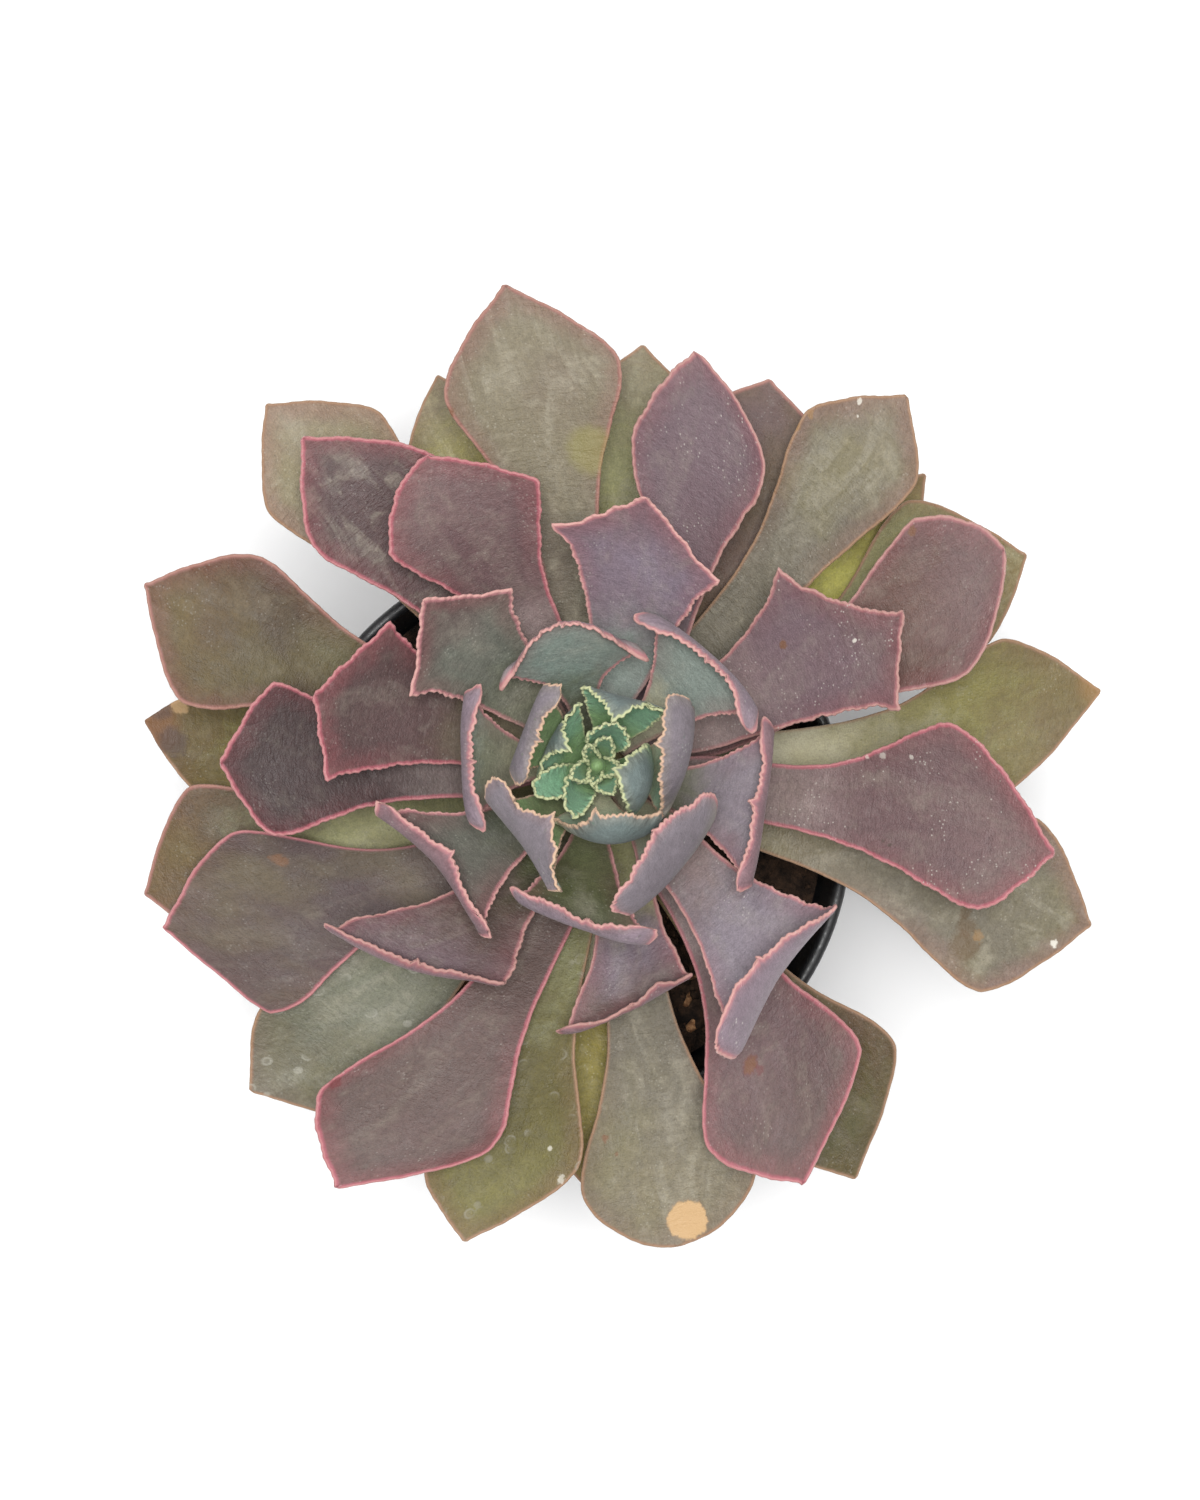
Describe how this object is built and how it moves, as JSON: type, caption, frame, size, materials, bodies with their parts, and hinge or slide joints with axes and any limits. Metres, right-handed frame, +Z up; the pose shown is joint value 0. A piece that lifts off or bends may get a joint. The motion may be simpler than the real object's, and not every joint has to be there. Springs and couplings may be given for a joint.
{
  "type": "potted echeveria",
  "caption": "Potted pink frills echeveria: a broad rosette of frilled mauve and olive leaves on a short stem, in soil in a round black nursery pot.",
  "frame": {"origin": "centre of the flat underside of the pot", "axes": "+Z up along the pot's axis; +X and +Y level, with the largest olive leaf towards +Y"},
  "size_m": [0.1796, 0.1775, 0.1551],
  "materials": {
    "pot": "thin black polypropylene, satin",
    "soil": "dark peat mix with small bark bits, matt",
    "stem": "dull olive-brown stem with leaf scars",
    "old_leaf": "thick fleshy leaf, olive with a thin rust margin, waxy and half matt",
    "leaf": "thick fleshy leaf, mauve-grey with a pink frilled margin, waxy and half matt",
    "young_leaf": "fleshy leaf, lavender-grey with a pale pink frilled margin, waxy bloom",
    "heart": "young teal-green leaves with cream frilled margins, waxy bloom"
  },
  "bodies": {
    "root": {"pot": "pot", "soil": "soil", "stem": "stem", "leaf_01": "old_leaf", "leaf_02": "old_leaf", "leaf_03": "old_leaf", "leaf_04": "old_leaf", "leaf_05": "old_leaf", "leaf_06": "old_leaf", "leaf_07": "old_leaf", "leaf_08": "old_leaf", "leaf_09": "old_leaf", "leaf_10": "old_leaf", "leaf_11": "old_leaf", "leaf_12": "old_leaf", "leaf_13": "old_leaf", "leaf_14": "leaf", "leaf_15": "leaf", "leaf_16": "leaf", "leaf_17": "leaf", "leaf_18": "leaf", "leaf_19": "leaf", "leaf_20": "leaf", "leaf_21": "leaf", "leaf_22": "leaf", "leaf_23": "leaf", "leaf_24": "leaf", "leaf_25": "leaf", "leaf_26": "leaf", "leaf_27": "leaf", "leaf_28": "leaf", "leaf_29": "leaf", "leaf_30": "leaf", "leaf_31": "leaf", "leaf_32": "leaf", "leaf_33": "leaf", "leaf_34": "young_leaf", "leaf_35": "young_leaf", "leaf_36": "young_leaf", "leaf_37": "young_leaf", "leaf_38": "young_leaf", "leaf_39": "young_leaf", "leaf_40": "young_leaf", "leaf_41": "young_leaf", "heart": "heart"}
  },
  "joints": []
}
